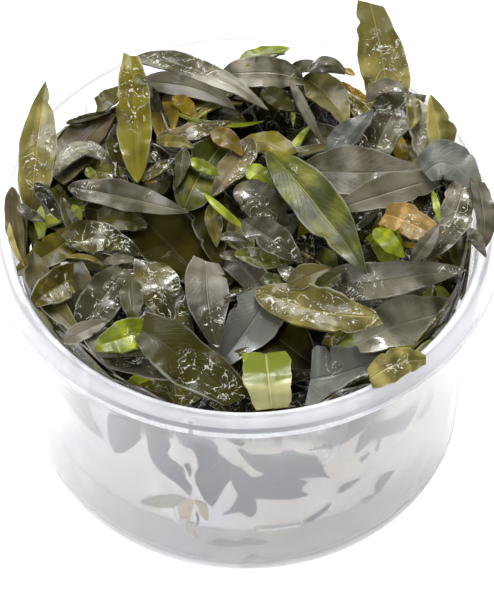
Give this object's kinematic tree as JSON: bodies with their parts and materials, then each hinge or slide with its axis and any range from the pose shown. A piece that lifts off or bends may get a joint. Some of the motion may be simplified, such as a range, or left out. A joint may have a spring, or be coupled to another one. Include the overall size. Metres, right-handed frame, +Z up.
{
  "type": "cryptocoryne wendtii tissue culture cup",
  "caption": "Open clear plastic tissue culture cup with nutrient gel in its foot, filled to the rim with loose wet aquarium plant leaves.",
  "frame": {"origin": "centre of the foot's underside", "axes": "+Z up through the mouth of the cup, -Y towards the side that the picture shows"},
  "size_m": [0.1, 0.1, 0.0744],
  "materials": {
    "cup_plastic": "hazy clear moulded",
    "gel": "translucent gel",
    "leaf_dark": "wet leaf",
    "leaf_fresh": "wet leaf",
    "leaf_lilac": "wet leaf",
    "leaf_lime": "wet leaf",
    "leaf_olive": "wet leaf",
    "leaf_slate": "wet leaf",
    "leaf_straw": "wet leaf",
    "leaf_tan": "wet leaf"
  },
  "bodies": {
    "root": {"cup": "cup_plastic", "nutrient_gel": "gel", "lower_leaves": "leaf_dark", "leaf_01": "leaf_slate", "leaf_02": "leaf_slate", "leaf_03": "leaf_slate", "leaf_04": "leaf_slate", "leaf_05": "leaf_slate", "leaf_06": "leaf_slate", "leaf_07": "leaf_olive", "leaf_08": "leaf_dark", "leaf_09": "leaf_olive", "leaf_10": "leaf_olive", "leaf_11": "leaf_fresh", "leaf_12": "leaf_dark", "leaf_13": "leaf_lime", "leaf_14": "leaf_lilac", "leaf_15": "leaf_lilac", "leaf_16": "leaf_lilac", "leaf_17": "leaf_slate", "leaf_18": "leaf_lilac", "leaf_19": "leaf_lilac", "leaf_20": "leaf_slate", "leaf_21": "leaf_olive", "leaf_22": "leaf_straw", "leaf_23": "leaf_straw", "leaf_24": "leaf_slate", "leaf_25": "leaf_slate", "leaf_26": "leaf_lilac", "leaf_27": "leaf_straw", "leaf_28": "leaf_slate", "leaf_29": "leaf_lilac", "leaf_30": "leaf_lilac", "leaf_31": "leaf_slate", "leaf_32": "leaf_lilac", "leaf_33": "leaf_fresh", "leaf_34": "leaf_tan", "leaf_35": "leaf_olive", "leaf_36": "leaf_lilac", "leaf_37": "leaf_straw", "leaf_38": "leaf_slate", "leaf_39": "leaf_lilac", "leaf_40": "leaf_slate", "leaf_41": "leaf_slate", "leaf_42": "leaf_straw", "leaf_43": "leaf_slate", "leaf_44": "leaf_dark", "leaf_45": "leaf_slate", "leaf_46": "leaf_slate", "leaf_47": "leaf_straw", "leaf_48": "leaf_dark", "leaf_49": "leaf_slate", "leaf_50": "leaf_slate", "leaf_51": "leaf_slate", "leaf_52": "leaf_slate", "leaf_53": "leaf_straw", "leaf_54": "leaf_slate", "leaf_55": "leaf_straw", "leaf_56": "leaf_fresh", "leaf_57": "leaf_fresh"}
  },
  "joints": []
}
